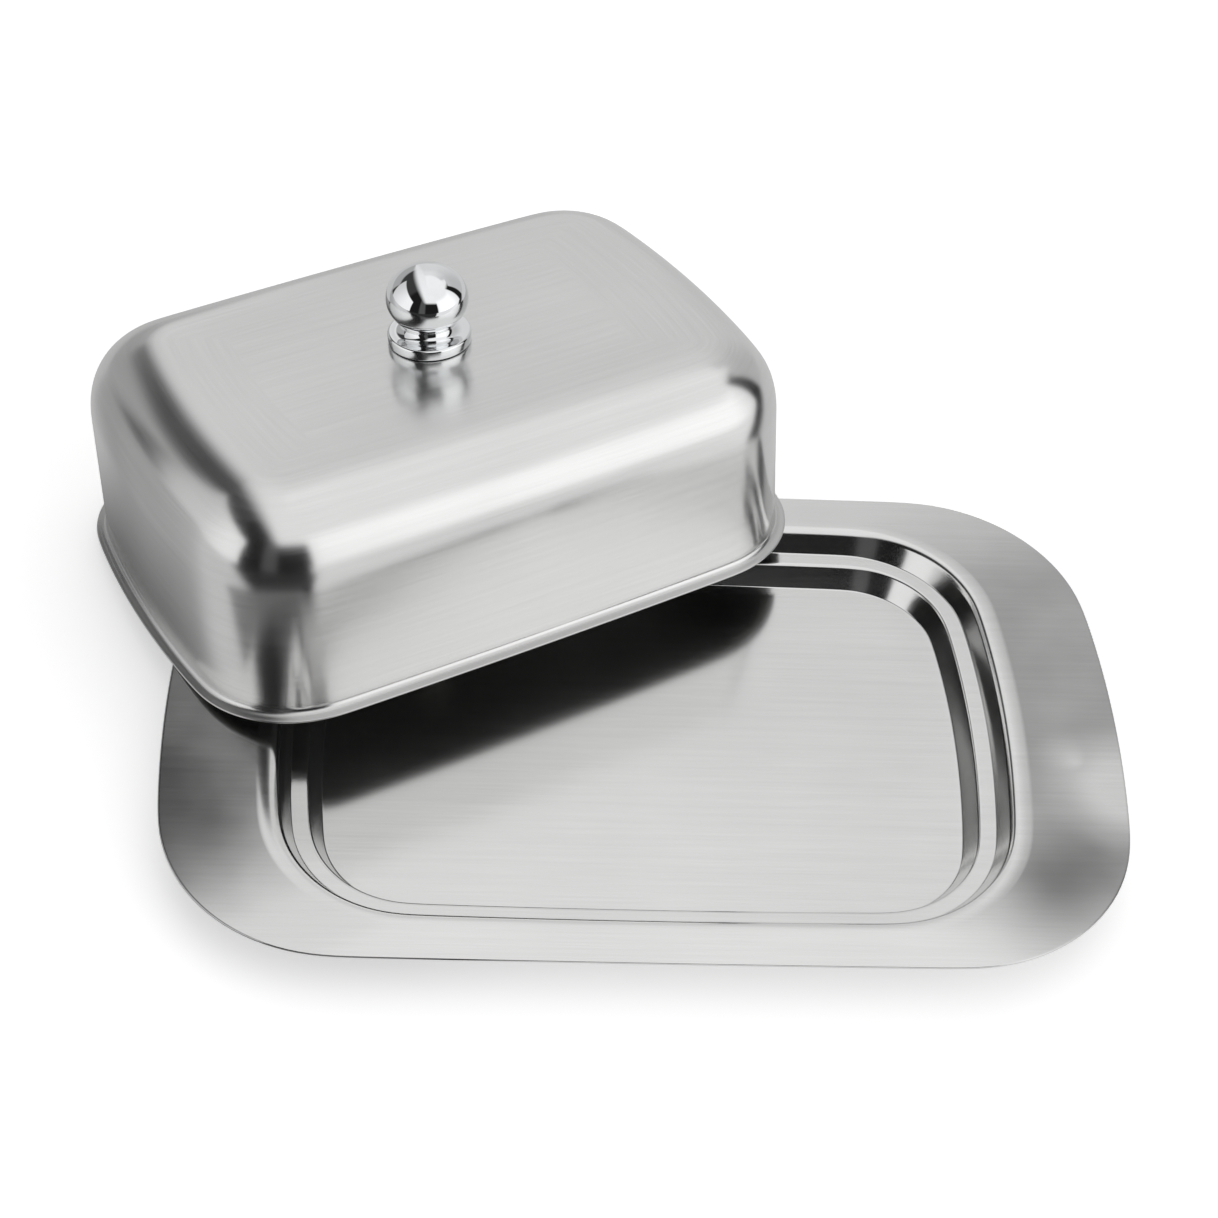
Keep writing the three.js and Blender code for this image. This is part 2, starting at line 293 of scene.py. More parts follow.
def sheet_section(line, thickness):
    """The line thickened into a strip with a round edge at its outer end: (u, z) points."""
    half = thickness / 2
    top = [p + n * half for p, n in line]
    under = [p - n * half for p, n in reversed(line)]
    end, n = line[-1]
    out = Vector((n.y, -n.x))
    edge = []
    for k in range(1, EDGE_STEPS):
        t = math.pi * k / EDGE_STEPS
        edge.append(end + n * half * math.cos(t) + out * half * math.sin(t))
    return top + edge + under


# ------------------------------------------------------------------ meshes


def new_piece(name, bm):
    bmesh.ops.recalc_face_normals(bm, faces=bm.faces)
    mesh = bpy.data.meshes.new(name)
    bm.to_mesh(mesh)
    bm.free()
    mesh.polygons.foreach_set("use_smooth", [True] * len(mesh.polygons))
    piece = bpy.data.objects.new(name, mesh)
    bpy.context.scene.collection.objects.link(piece)
    return piece


def ring_of(bm, loop, z):
    return [bm.verts.new((p.x, p.y, z)) for p in loop]


def bridge(bm, one, two, uv, uv_one, uv_two, flip=False):
    """Quads between two rings of as many points, with their brush coordinates."""
    count = len(one)
    for i in range(count):
        j = (i + 1) % count
        corners = [(one[i], uv_one(i)), (one[j], uv_one(i + 1)), (two[j], uv_two(i + 1)),
                   (two[i], uv_two(i))]
        if flip:
            corners.reverse()
        face = bm.faces.new([v for v, _ in corners])
        for loop, (_, at) in zip(face.loops, corners):
            loop[uv].uv = at


def sheet_mesh(name, section, loop_at, round_rings, rim_from, lip_shade_from, hole_r=0.0):
    """A pressed sheet swept round its outline. The brush coordinates run round with the
    outline, and from so many rings into the flat middle they run straight along X; with
    no round_rings at all they run straight all over. Outside the offset rim_from the
    "outward" mark points out of the outline; "darker" marks the underside, and in part,
    as a painted shade, the top outside the offset lip_shade_from.
    With a hole_r the sheet has a round hole in its middle."""
    bm = bmesh.new()
    uv = bm.loops.layers.uv.new("brush")
    outward_mark = bm.verts.layers.float_vector.new("outward")
    darker_mark = bm.verts.layers.float.new("darker")
    base = loop_at(0)
    count = len(base)
    lengths = [0.0]
    for i in range(count):
        lengths.append(lengths[-1] + (base[(i + 1) % count] - base[i]).length)
    total = lengths[-1]
    rings, travel = [], 0.0
    for k, p in enumerate(section):
        if k:
            travel += (p - section[k - 1]).length
        loop = loop_at(p.x)
        verts = ring_of(bm, loop, p.y)
        on_rim = min(max((p.x - rim_from) / RIM_FADE, 0.0), 1.0)
        # Painted shade on the lip's top, growing from the offset lip_shade_from; the underside is
        # marked fully.
        lip_shade = LIP_PAINTED_SHADE * min(max((p.x - lip_shade_from) / LIP_PAINTED_SHADE_FADE, 0.0), 1.0)
        for vert, outward in zip(verts, normals_of(loop)):
            vert[outward_mark] = (outward * on_rim).to_3d()
            vert[darker_mark] = 1.0 if k > len(section) / 2 else lip_shade
        rings.append((p, travel, loop, verts))

    def straight(loop):
        return lambda i: (loop[i % count].y * MM, -loop[i % count].x * MM)

    def round_about(distance):
        return lambda i: (distance * MM, (lengths[i] if i < count else total) * MM)

    for one, two in zip(rings, rings[1:]):
        if round_rings is None:
            bridge(bm, one[3], two[3], uv, straight(one[2]), straight(two[2]), True)
        else:
            bridge(bm, one[3], two[3], uv, round_about(one[1]), round_about(two[1]), True)

    def cap(ring, darker):
        """Rings from the sheet's flat middle in to the hole, or to a small last face."""
        p, distance, loop, verts = ring
        inner_r = hole_r if hole_r else MIDDLE_R
        circle = [Vector((math.cos(t), math.sin(t))) * inner_r
                  for t in (math.atan2(q.y, q.x) for q in loop)]
        previous, at = verts, loop
        for k in range(1, FILL_RINGS + 1):
            share = k / FILL_RINGS
            inner = [q.lerp(c, share) for q, c in zip(loop, circle)]
            now = ring_of(bm, inner, p.y)
            for vert in now:
                vert[darker_mark] = darker
            if round_rings and k <= round_rings:
                step = (at[0] - inner[0]).length
                bridge(bm, previous, now, uv, round_about(distance), round_about(distance - step))
                distance -= step
            else:
                bridge(bm, previous, now, uv, straight(at), straight(inner))
            previous, at = now, inner
        if hole_r:
            return previous
        middle = bm.verts.new((0, 0, p.y))
        middle[darker_mark] = darker
        for i in range(count):
            j = (i + 1) % count
            face = bm.faces.new((previous[i], previous[j], middle))
            for corner in face.loops:
                corner[uv].uv = (corner.vert.co.y * MM, -corner.vert.co.x * MM)
        return None

    top_hole, under_hole = cap(rings[0], 0.0), cap(rings[-1], 1.0)
    if hole_r:
        circle = [Vector(v.co.xy) for v in top_hole]
        bridge(bm, top_hole, under_hole, uv, straight(circle), straight(circle))
    return new_piece(name, bm)


def turned_mesh(name, profile):
    """A closed body turned about +Z from (radius, height) points, from axis to axis or round."""
    bm = bmesh.new()
    uv = bm.loops.layers.uv.new("brush")
    closed = profile[0] == profile[-1]
    points = profile[:-1] if closed else profile
    rings, travel = [], 0.0
    for k, (r, z) in enumerate(points):
        if k:
            travel += math.dist(points[k - 1], points[k])
        if r == 0:
            rings.append((bm.verts.new((0, 0, z)), travel, r))
        else:
            angles = [2 * math.pi * i / TURN_STEPS for i in range(TURN_STEPS)]
            ring = [bm.verts.new((r * math.cos(t), r * math.sin(t), z)) for t in angles]
            rings.append((ring, travel, r))
    pairs = list(zip(rings, rings[1:])) + ([(rings[-1], rings[0])] if closed else [])
    for (one, at_one, r_one), (two, at_two, r_two) in pairs:
        for i in range(TURN_STEPS):
            j = (i + 1) % TURN_STEPS
            if r_one == 0:
                verts = [(one, i + 0.5, at_one), (two[j], i + 1, at_two), (two[i], i, at_two)]
            elif r_two == 0:
                verts = [(one[i], i, at_one), (one[j], i + 1, at_one), (two, i + 0.5, at_two)]
            else:
                verts = [(one[i], i, at_one), (one[j], i + 1, at_one),
                         (two[j], i + 1, at_two), (two[i], i, at_two)]
            face = bm.faces.new([v for v, _, _ in verts])
            for loop, (_, turn, at) in zip(face.loops, verts):
                loop[uv].uv = (turn / TURN_STEPS * 2 * math.pi * TURNED_BRUSH_R * MM, at * MM)
    return new_piece(name, bm)


def rounded(points, radii):
    """The corners of a profile rounded, each by its own radius."""
    out = []
    for i, (point, r) in enumerate(zip(points, radii)):
        if r:
            made = bend_points(
                Vector(point), Vector(points[i - 1]), Vector(points[i + 1]), r,
                TURNED_BEND_STEPS, False,
            )
            out += [tuple(p) for p, _ in made]
        else:
            out.append(tuple(point))
    return out


def cover_place():
    turn = Matrix.Rotation(math.radians(COVER_YAW), 4, "Z")
    turn @= Matrix.Rotation(math.radians(COVER_PITCH), 4, "X")
    turn @= Matrix.Rotation(math.radians(COVER_ROLL), 4, "Y")
    return Matrix.Translation(Vector(COVER_AT)) @ turn


def put(piece, place, body, node):
    """Millimetres in the piece's own frame to metres in the row frame, and the frame's facts."""
    piece.data.transform(Matrix.Scale(MM, 4) @ place)
    piece.data.update()
    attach(piece, body)
    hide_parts(node)
    return piece


# ------------------------------------------------------------------ pieces


def make_tray():
    seat = grown(LIP_OUTLINE, SEAT_CLEARANCE)
    base = loop_of(seat)
    normals = normals_of(base)
    outer = loop_of(TRAY_OUTLINE)
    mouth = [p + n * RIM_BREAK for p, n in zip(base, normals)]
    rim_width = TRAY_OUTLINE["a"] - seat["a"] - RIM_BREAK

    def loop_at(u):
        if u <= RIM_BREAK:
            return [p + n * u for p, n in zip(base, normals)]
        share = (u - RIM_BREAK) / rim_width
        return [m.lerp(o, share) for m, o in zip(mouth, outer)]

    floor_z = SHEET / 2
    rim_z = floor_z + WELL_DEPTH
    ledge_z = rim_z - LEDGE_DEPTH
    line = bent_line([
        (-FLOOR_INSET - 3 * STEP_BEND_R, floor_z, 0, 0, False),
        (-FLOOR_INSET, floor_z, STEP_BEND_R, BEND_STEPS, True),
        (-LEDGE_WIDTH, ledge_z, STEP_BEND_R, BEND_STEPS, True),
        (0, ledge_z, STEP_BEND_R, BEND_STEPS, True),
        (MOUTH_OUTSET, rim_z, MOUTH_BEND_R, BEND_STEPS, True),
        (RIM_BREAK + rim_width - SHEET, rim_z, 0, 0, False),
        (RIM_BREAK + rim_width - SHEET / 2, rim_z, 0, 0, False),
    ])
    section = sheet_section(line, SHEET)
    nowhere = TRAY_OUTLINE["a"]
    return sheet_mesh("tray_shell", section, loop_at, None, MOUTH_OUTSET + RIM_FADE, nowhere)


def make_dome():
    base = loop_of(LIP_OUTLINE)
    normals = normals_of(base)
    top_z = COVER_HEIGHT - SHEET / 2
    root_z = LIP_RISE + SHEET / 2
    wall_in = math.tan(math.radians(WALL_DRAFT)) * (top_z - root_z)
    flat_from = -LIP_WIDTH - wall_in - CROWN_R
    line = bent_line([
        (flat_from - FLAT_MARGIN, top_z, 0, 0, False),
        (-LIP_WIDTH - wall_in, top_z, CROWN_R, CROWN_STEPS, True),
        (-LIP_WIDTH, root_z, LIP_BEND_R, BEND_STEPS, True),
        (-SHEET / 2, SHEET / 2, 0, 0, False),
    ])
    section = sheet_section(line, SHEET)
    beyond, hole_r = SHEET, THREAD_R + THREAD_CLEARANCE

    def loop_at(u):
        return [p + n * u for p, n in zip(base, normals)]

    return sheet_mesh(
        "cover_shell", section, loop_at, COVER_ROUND_RINGS, beyond, LIP_PAINTED_SHADE_INSET - LIP_WIDTH, hole_r
    )


def make_knob():
    base = COVER_HEIGHT + STACK_GAP
    flange_top = COVER_HEIGHT + FLANGE_HEIGHT
    hole_r = THREAD_R + THREAD_CLEARANCE
    profile = [(0, base + THREAD_DEPTH), (hole_r, base + THREAD_DEPTH), (hole_r, base)]
    profile += rounded(
        [(hole_r, base), (FLANGE_R, base), (FLANGE_R, flange_top), (NECK_FLARE_R, flange_top)],
        [0, FLANGE_EDGE, FLANGE_TOP_EDGE, 0],
    )[1:]
    for k in range(1, FLARE_STEPS + 1):
        t = math.pi / 2 * k / FLARE_STEPS
        profile.append((
            NECK_FLARE_R - (NECK_FLARE_R - NECK_R) * math.sin(t),
            COVER_HEIGHT + NECK_TOP - (NECK_TOP - FLANGE_HEIGHT) * math.cos(t),
        ))
    start = math.asin(NECK_R / BALL_R) - math.pi / 2
    centre = COVER_HEIGHT + BALL_CENTRE
    for k in range(BALL_STEPS):
        t = start + (math.pi / 2 - start) * k / BALL_STEPS
        profile.append((BALL_R * math.cos(t), centre + BALL_HALF_HEIGHT * math.sin(t)))
    profile.append((0, centre + BALL_HALF_HEIGHT))
    return turned_mesh("knob_ball", profile)


def make_washer():
    top = COVER_HEIGHT - SHEET - STACK_GAP
    inner, outer, edge = WASHER_INNER_R, WASHER_OUTER_R, WASHER_EDGE
    low = top - WASHER_HEIGHT
    profile = [
        (inner, low + edge), (inner + edge, low), (outer - edge, low), (outer, low + edge),
        (outer, top - edge), (outer - edge, top), (inner + edge, top), (inner, top - edge),
    ]
    return turned_mesh("fixing_washer", profile + profile[:1])


def make_screw():
    """A slotted cheese-head screw: the head with its slot cut, and a shank with a fine thread."""
    head_top = COVER_HEIGHT - SHEET - WASHER_HEIGHT - 2 * STACK_GAP
    head_low = head_top - SCREW_HEAD_HEIGHT
    tip = head_top + SCREW_LENGTH
    profile = rounded(
        [(0, head_low), (SCREW_HEAD_R, head_low), (SCREW_HEAD_R, head_top), (THREAD_R, head_top)],
        [0, SCREW_LOW_EDGE, SCREW_TOP_EDGE, 0],
    )
    z = head_top + THREAD_PITCH
    while z < tip - THREAD_PITCH:
        profile += [(THREAD_R, z), (THREAD_R - THREAD_CUT, z + THREAD_PITCH / 2)]
        z += THREAD_PITCH
    profile += [(THREAD_R - THREAD_CUT, tip), (0, tip)]
    screw = turned_mesh("fixing_screw", profile)
    cutter_bm = bmesh.new()
    bmesh.ops.create_cube(cutter_bm, size=1)
    cutter = new_piece("slot_cutter", cutter_bm)
    cutter.scale = (4 * SCREW_HEAD_R, SCREW_SLOT, 2 * SCREW_SLOT)
    cutter.location = (0, 0, head_low)
    cut = screw.modifiers.new("slot", "BOOLEAN")
    cut.operation, cut.object, cut.solver = "DIFFERENCE", cutter, "EXACT"
    bpy.context.view_layer.update()
    evaluated = screw.evaluated_get(bpy.context.evaluated_depsgraph_get())
    mesh = bpy.data.meshes.new_from_object(evaluated)
    welded = bmesh.new()
    welded.from_mesh(mesh)
    bmesh.ops.remove_doubles(welded, verts=welded.verts, dist=WELD)
    welded.to_mesh(mesh)
    welded.free()
    screw.modifiers.clear()
    screw.data = mesh
    bpy.data.objects.remove(cutter)
    return screw


# ------------------------------------------------------------------ shading sums


class Sums:
    """A node tree, with short calls for its nodes and for sums over directions and places."""

    def __init__(self, tree):
        self.tree = tree

    def put_in(self, socket, value):
        if isinstance(value, (int, float, tuple)):
            socket.default_value = value
        else:
            self.tree.links.new(value, socket)

    def node(self, kind, inputs=None, **settings):
        """A node with its settings, and its inputs by name, each a constant or a link."""
        made = self.tree.nodes.new(kind)
        for key, value in settings.items():
            setattr(made, key, value)
        for name, value in (inputs or {}).items():
            self.put_in(made.inputs[name], value)
        return made

    def maths(self, operation, *values):
        made = self.node("ShaderNodeMath", operation=operation)
        for socket, value in zip(made.inputs, values):
            self.put_in(socket, value)
        return made.outputs["Value"]

    def vector_maths(self, operation, *values):
        made = self.node("ShaderNodeVectorMath", operation=operation)
        for socket, value in zip(made.inputs, values):
            self.put_in(socket, value)
        return made.outputs["Value" if operation == "LENGTH" else "Vector"]

    def coordinates(self, kind):
        return self.node("ShaderNodeTexCoord").outputs[kind]

    def axes(self, vector):
        parts = self.node("ShaderNodeSeparateXYZ", {"Vector": vector})
        return [parts.outputs[axis] for axis in "XYZ"]

    def noise(self, vector, **inputs):
        made = self.node("ShaderNodeTexNoise", {"Vector": vector, **inputs})
        return made.outputs["Fac"]

    def mark(self, name):
        return self.node("ShaderNodeAttribute", attribute_name=name).outputs

    def azimuth(self, x, y):
        """Degrees round from the camera's side, towards +X."""
        angle = self.maths("ARCTAN2", x, self.maths("MULTIPLY", y, -1.0))
        return self.maths("MULTIPLY", angle, DEGREES)

    def offset(self, x, y, place):
        """The way to a point from a place in the same plane."""
        return self.maths("SUBTRACT", x, place[0]), self.maths("SUBTRACT", y, place[1])

    def distance(self, x, y, place):
        squares = [self.maths("MULTIPLY", way, way) for way in self.offset(x, y, place)]
        return self.maths("SQRT", self.maths("ADD", *squares))

    def ramp(self, value, edge, ends=(0.0, 1.0)):
        """From one end's value to the other's across a soft edge."""
        inputs = {"Value": value, "From Min": edge[0], "From Max": edge[1],
                  "To Min": ends[0], "To Max": ends[1]}
        made = self.node("ShaderNodeMapRange", inputs, interpolation_type="SMOOTHSTEP")
        return made.outputs["Result"]

    def fall(self, value, edge):
        return self.ramp(value, edge, (1.0, 0.0))

    def between(self, value, span, edge):
        low, high = span
        rise = self.ramp(value, (low - edge / 2, low + edge / 2))
        return self.maths("MULTIPLY", rise, self.fall(value, (high - edge / 2, high + edge / 2)))

    def product(self, *values):
        total = values[0]
        for value in values[1:]:
            total = self.maths("MULTIPLY", total, value)
        return total

    def lit(self, under, mask, level):
        """The level where the mask is one, and what is under it where it is nought."""
        rest = self.maths("MULTIPLY", under, self.maths("SUBTRACT", 1.0, mask))
        return self.maths("ADD", rest, self.maths("MULTIPLY", mask, level))


def new_material(name):
    material = bpy.data.materials.new(name)
    material.use_nodes = True
    return material, Sums(material.node_tree), material.node_tree.nodes["Principled BSDF"]


# ------------------------------------------------------------------ materials


def brush_grain(sums):
    """The brush's fine lines and wider bands, over slow clouds, as one height."""
    brush = sums.node("ShaderNodeUVMap", uv_map="brush").outputs["UV"]

    def along_brush(scale, **inputs):
        stretched = sums.node("ShaderNodeMapping", {"Vector": brush, "Scale": scale})
        return sums.noise(stretched.outputs["Vector"], Scale=1.0, **inputs)

    lines = along_brush(BRUSH_LINES, Detail=4.0, Roughness=0.6)
    bands = along_brush(BRUSH_BANDS, Detail=3.0)
    clouds = sums.noise(sums.coordinates("Object"), Scale=CLOUD_SCALE, Detail=3.0)
    grain = sums.maths("MULTIPLY", clouds, CLOUD_SHARE)
    grain = sums.maths("MULTIPLY_ADD", bands, BAND_SHARE, grain)
    return sums.maths("MULTIPLY_ADD", lines, LINE_SHARE, grain)


def mixed_colour(sums, share, under, over):
    mix = sums.node(
        "ShaderNodeMix", {"Factor": share, "A": under, "B": over}, data_type="RGBA"
    )
    return mix.outputs["Result"]


def brushed_steel(name, roughness):
    """Satin steel: fine brush lines that vary the gloss and stand in very shallow relief,
    darker and rougher where the sheet is marked so (its underside, and a painted shade on
    the top of the cover's lip), and with the tray rim's unevenness and painted shade."""
    material, sums, bsdf = new_material(name)
    bsdf.inputs["Metallic"].default_value = 1.0
    bsdf.inputs["Anisotropic"].default_value = ANISOTROPY
    tangent = sums.node("ShaderNodeTangent", direction_type="UV_MAP", uv_map="brush")
    sums.put_in(bsdf.inputs["Tangent"], tangent.outputs["Tangent"])

    grain = brush_grain(sums)
    darker = sums.mark("darker")["Fac"]
    gloss = sums.node("ShaderNodeMapRange", {
        "Value": grain, "From Min": BRUSH_RANGE[0], "From Max": BRUSH_RANGE[1],
        "To Min": roughness - GLOSS_SPREAD, "To Max": roughness + GLOSS_SPREAD,
    })
    duller = sums.maths("MULTIPLY_ADD", darker, DULL_ROUGHNESS, gloss.outputs["Result"])
    sums.put_in(bsdf.inputs["Roughness"], duller)

    tint = sums.node("ShaderNodeValToRGB", {"Fac": grain})
    for stop, position, factor in zip(tint.color_ramp.elements, BRUSH_RANGE, BRUSH_TINTS):
        stop.position = position
        stop.color = (*[min(c * factor, 1) for c in STEEL], 1)
    # The colour mixed towards a darker grey where marked: the underside, and a painted shade on the
    # cover lip's top.
    colour = mixed_colour(sums, darker, tint.outputs["Color"], DARKER_GREY)
    normal, painted_rim_shade = rim_unevenness_and_shade(sums)
    # The rim's colour mixed towards near-black: painted shade.
    sums.put_in(bsdf.inputs["Base Color"], mixed_colour(sums, painted_rim_shade, colour, RIM_SHADE_GREY))

    relief = sums.node("ShaderNodeBump", {
        "Strength": 1.0, "Distance": BRUSH_RELIEF, "Height": grain, "Normal": normal,
    })
    sums.put_in(bsdf.inputs["Normal"], relief.outputs["Normal"])
    return material


def rim_unevenness_and_shade(sums):
    """The slight outward fall and unevenness of the tray's pressed rim, as its shading
    normal, and a cloudy painted shade that darkens the rim's colour towards near-black."""
    place = sums.coordinates("Object")
    x, y, _ = sums.axes(place)
    mark = sums.mark("outward")["Vector"]
    out_x, out_y, _ = sums.axes(mark)
    waves = sums.noise(place, Scale=WAVE_SCALE, Detail=2.0)
    wave = sums.maths("SUBTRACT", waves, 0.5)

    def spot(middle, radius, soft):
        return sums.fall(sums.distance(x, y, middle), (radius - soft, radius + soft))

    flatter = sums.maths("MAXIMUM", *[spot(*flat) for flat in FLAT_SPOTS])
    wave_lean = sums.ramp(out_x, (-WAVE_TURN, WAVE_TURN), (LEFT_WAVE, RIGHT_WAVE))
    lean_x = sums.maths("ADD", sums.maths("MULTIPLY", wave, wave_lean), RIM_LEAN[0])
    lean_x = sums.maths("MULTIPLY", lean_x, sums.maths("MULTIPLY_ADD", flatter, -1.0, 1.0))
    lean = sums.node("ShaderNodeCombineXYZ", {
        "X": sums.maths("MULTIPLY", out_x, lean_x),
        "Y": sums.maths("MULTIPLY", out_y, RIM_LEAN[1]),
    })
    surface = sums.node("ShaderNodeNewGeometry")
    leaning = sums.vector_maths("ADD", surface.outputs["Normal"], lean.outputs["Vector"])

    # Painted shade: darker towards the rim's ends, more to the right, with waves and dark spots, and
    # none on the flat spots.
    painted_rim_shade = sums.ramp(out_x, RIM_SHADE_FADE, (LEFT_RIM_SHADE, RIGHT_RIM_SHADE))
    painted_rim_shade = sums.maths("MULTIPLY_ADD", wave, RIM_SHADE_WAVE, painted_rim_shade)
    painted_rim_shade = sums.maths("MULTIPLY", sums.maths("ABSOLUTE", out_x), painted_rim_shade)
    for *where, strength in DARK_SPOTS:
        painted_rim_shade = sums.maths("MULTIPLY_ADD", spot(*where), strength, painted_rim_shade)
    painted_rim_shade = sums.product(
        sums.vector_maths("LENGTH", mark),
        sums.maths("MAXIMUM", painted_rim_shade, 0.0),
        sums.maths("SUBTRACT", 1.0, flatter),
    )
    return sums.vector_maths("NORMALIZE", leaning), painted_rim_shade


def polished_metal(name, colour, roughness, spread, grain_scale, relief_depth):
    """Plated or plain turned metal: nearly a mirror, with faint handling marks."""
    darkest, grain_range = 0.95, (0.35, 0.7)
    material, sums, bsdf = new_material(name)
    bsdf.inputs["Metallic"].default_value = 1.0
    grain = sums.noise(sums.coordinates("Object"), Scale=grain_scale, Detail=5.0)
    gloss = sums.node("ShaderNodeMapRange", {
        "Value": grain, "From Min": grain_range[0], "From Max": grain_range[1],
        "To Min": roughness, "To Max": roughness + spread,
    })
    sums.put_in(bsdf.inputs["Roughness"], gloss.outputs["Result"])
    tint = sums.node("ShaderNodeValToRGB", {"Fac": grain})
    tint.color_ramp.elements[0].color = (*[c * darkest for c in colour], 1)
    tint.color_ramp.elements[1].color = (*colour, 1)
    sums.put_in(bsdf.inputs["Base Color"], tint.outputs["Color"])
    relief = sums.node("ShaderNodeBump", {"Distance": relief_depth, "Height": grain})
    sums.put_in(bsdf.inputs["Normal"], relief.outputs["Normal"])
    return material


# ------------------------------------------------------------------ studio


def make_camera():
    """The photograph's viewing angle, with its slight roll."""
    azimuth, elevation = math.radians(CAMERA_AZIMUTH), math.radians(CAMERA_ELEVATION)
    roll = math.radians(CAMERA_ROLL)
    back = Vector((
        math.sin(azimuth) * math.cos(elevation),
        -math.cos(azimuth) * math.cos(elevation),
        math.sin(elevation),
    ))
    right = (-back).cross(Vector((0, 0, 1))).normalized()
    up = right.cross(-back)
    across = right * math.cos(roll) + up * math.sin(roll)
    over = up * math.cos(roll) - right * math.sin(roll)
    turn = Matrix((across, over, back)).transposed().to_4x4()
    data = bpy.data.cameras.new("camera")
    data.sensor_width, data.lens = SENSOR, LENS
    data.clip_start, data.clip_end = 0.01, 50
    camera = bpy.data.objects.new("camera", data)
    at = (Vector(CAMERA_TARGET) + back * CAMERA_DISTANCE) * MM
    camera.matrix_world = Matrix.Translation(at) @ turn
    bpy.context.scene.collection.objects.link(camera)
    bpy.context.scene.camera = camera


def stage_piece(name, material, hidden_from, make_shape, drop=0.0, **sizes):
    """One simple shape of the studio, unseen by the rays named."""
    bm = bmesh.new()
    make_shape(bm, **sizes)
    piece = new_piece(name, bm)
    piece.location = (0, 0, -drop)
    piece.data.materials.append(material)
    for ray in hidden_from:
        setattr(piece, f"visible_{ray}", False)


def matt(name, grey, glow, roughness):
    material, _, bsdf = new_material(name)
    bsdf.inputs["Base Color"].default_value = (grey, grey, grey, 1)
    bsdf.inputs["Roughness"].default_value = roughness
    bsdf.inputs["Specular IOR Level"].default_value = 0.0
    bsdf.inputs["Emission Color"].default_value = (1, 1, 1, 1)
    bsdf.inputs["Emission Strength"].default_value = glow
    return material


def make_floor():
    """The pale floor, as the camera sees it."""
    material = matt("studio_floor", FLOOR_GREY, FLOOR_GLOW, FLOOR_ROUGHNESS)
    grid = dict(x_segments=1, y_segments=1, size=FLOOR_SIZE)
    stage_piece("floor", material, ["glossy"], bmesh.ops.create_grid, **grid)


def make_backdrop():
    """A pale surround that only the camera sees, behind and above the floor."""
    material = matt("studio_backdrop", 0, BACKDROP_GLOW, FLOOR_ROUGHNESS)
    unseen_by = ["diffuse", "glossy", "transmission", "volume_scatter", "shadow"]
    ball = dict(u_segments=48, v_segments=24, radius=BACKDROP_R)
    stage_piece("backdrop", material, unseen_by, bmesh.ops.create_uvsphere, **ball)


def table_level(sums):
    """The table's level of light at each place, darkest in front and under the cover."""
    x, y, _ = sums.axes(sums.coordinates("Object"))
    azimuth = sums.azimuth(*sums.offset(x, y, TABLE.middle))
    from_corner = sums.azimuth(*sums.offset(x, y, TABLE.corner))

    left_glow = sums.ramp(azimuth, TABLE_LEFT.fade, TABLE_LEFT.levels)
    left_side = sums.between(azimuth, TABLE_LEFT.span, TABLE_LEFT.edge)
    level = sums.lit(TABLE.level, left_side, left_glow)
    level = sums.lit(level, sums.ramp(azimuth, TABLE_BACK_LEFT.side), TABLE_BACK_LEFT.level)
    near_front = sums.product(
        sums.fall(sums.distance(x, y, TABLE_FRONT.middle), TABLE_FRONT.reach),
        sums.between(azimuth, TABLE_FRONT.span, TABLE_FRONT.edge),
        sums.fall(from_corner, TABLE_FRONT.right),
    )
    level = sums.lit(level, near_front, TABLE_FRONT.level)
    right_side = sums.maths(
        "MAXIMUM",
        sums.between(azimuth, TABLE_RIGHT.span, TABLE_RIGHT.edge),
        sums.between(from_corner, TABLE_RIGHT.corner_span, TABLE_RIGHT.edge),
    )
    level = sums.lit(level, right_side, sums.ramp(azimuth, TABLE_RIGHT.fade, TABLE_RIGHT.levels))
    level = sums.lit(level, sums.ramp(azimuth, TABLE_BACK_RIGHT.side), TABLE_BACK_RIGHT.level)
    cover_middle = [at * MM for at in COVER_AT[:2]]
    under_cover = sums.fall(sums.distance(x, y, cover_middle), UNDER_COVER.reach)
    return sums.lit(level, under_cover, UNDER_COVER.level)


def make_table_glow():
    """What the metal sees of the table: the lights and the dark gaps mirrored in it."""
    material = bpy.data.materials.new("studio_table_glow")
    material.use_nodes = True
    material.node_tree.nodes.clear()
    sums = Sums(material.node_tree)
    shine = sums.node("ShaderNodeEmission", {"Color": table_level(sums)})
    sums.node("ShaderNodeOutputMaterial", {"Surface": shine.outputs["Emission"]})
    unseen_by = ["camera", "diffuse", "shadow"]
    grid = dict(x_segments=1, y_segments=1, size=FLOOR_SIZE, drop=GLOW_DROP)
    stage_piece("table_glow", material, unseen_by, bmesh.ops.create_grid, **grid)


def room_level(sums, x, y, z):
    """The room's level of light in each direction."""
    azimuth = sums.azimuth(x, y)
    elevation = sums.maths("MULTIPLY", sums.maths("ARCSINE", z), DEGREES)
    level = sums.lit(ROOM.level, sums.fall(azimuth, ROOM.left), ROOM.left_level)
    front_strip = sums.between(azimuth, FRONT_STRIP.span, FRONT_STRIP.edge)
    level = sums.lit(level, front_strip, FRONT_STRIP.level)
    low_back_left = sums.product(
        sums.fall(azimuth, LOW_BACK_LEFT.side), sums.fall(elevation, LOW_BACK_LEFT.top)
    )
    level = sums.lit(level, low_back_left, LOW_BACK_LEFT.level)
    level = sums.lit(level, *left_panel(sums, x, y, z))
    level = sums.lit(level, *overhead_panel(sums, x, y, z))
    level = sums.lit(level, *back_lights(sums, azimuth, elevation))
    level = sums.lit(level, *right_panel(sums, azimuth, elevation))
    high_right = sums.product(
        sums.ramp(elevation, HIGH_RIGHT.bottom),
        sums.between(azimuth, HIGH_RIGHT.span, HIGH_RIGHT.edge),
    )
    return sums.lit(level, high_right, HIGH_RIGHT.level)


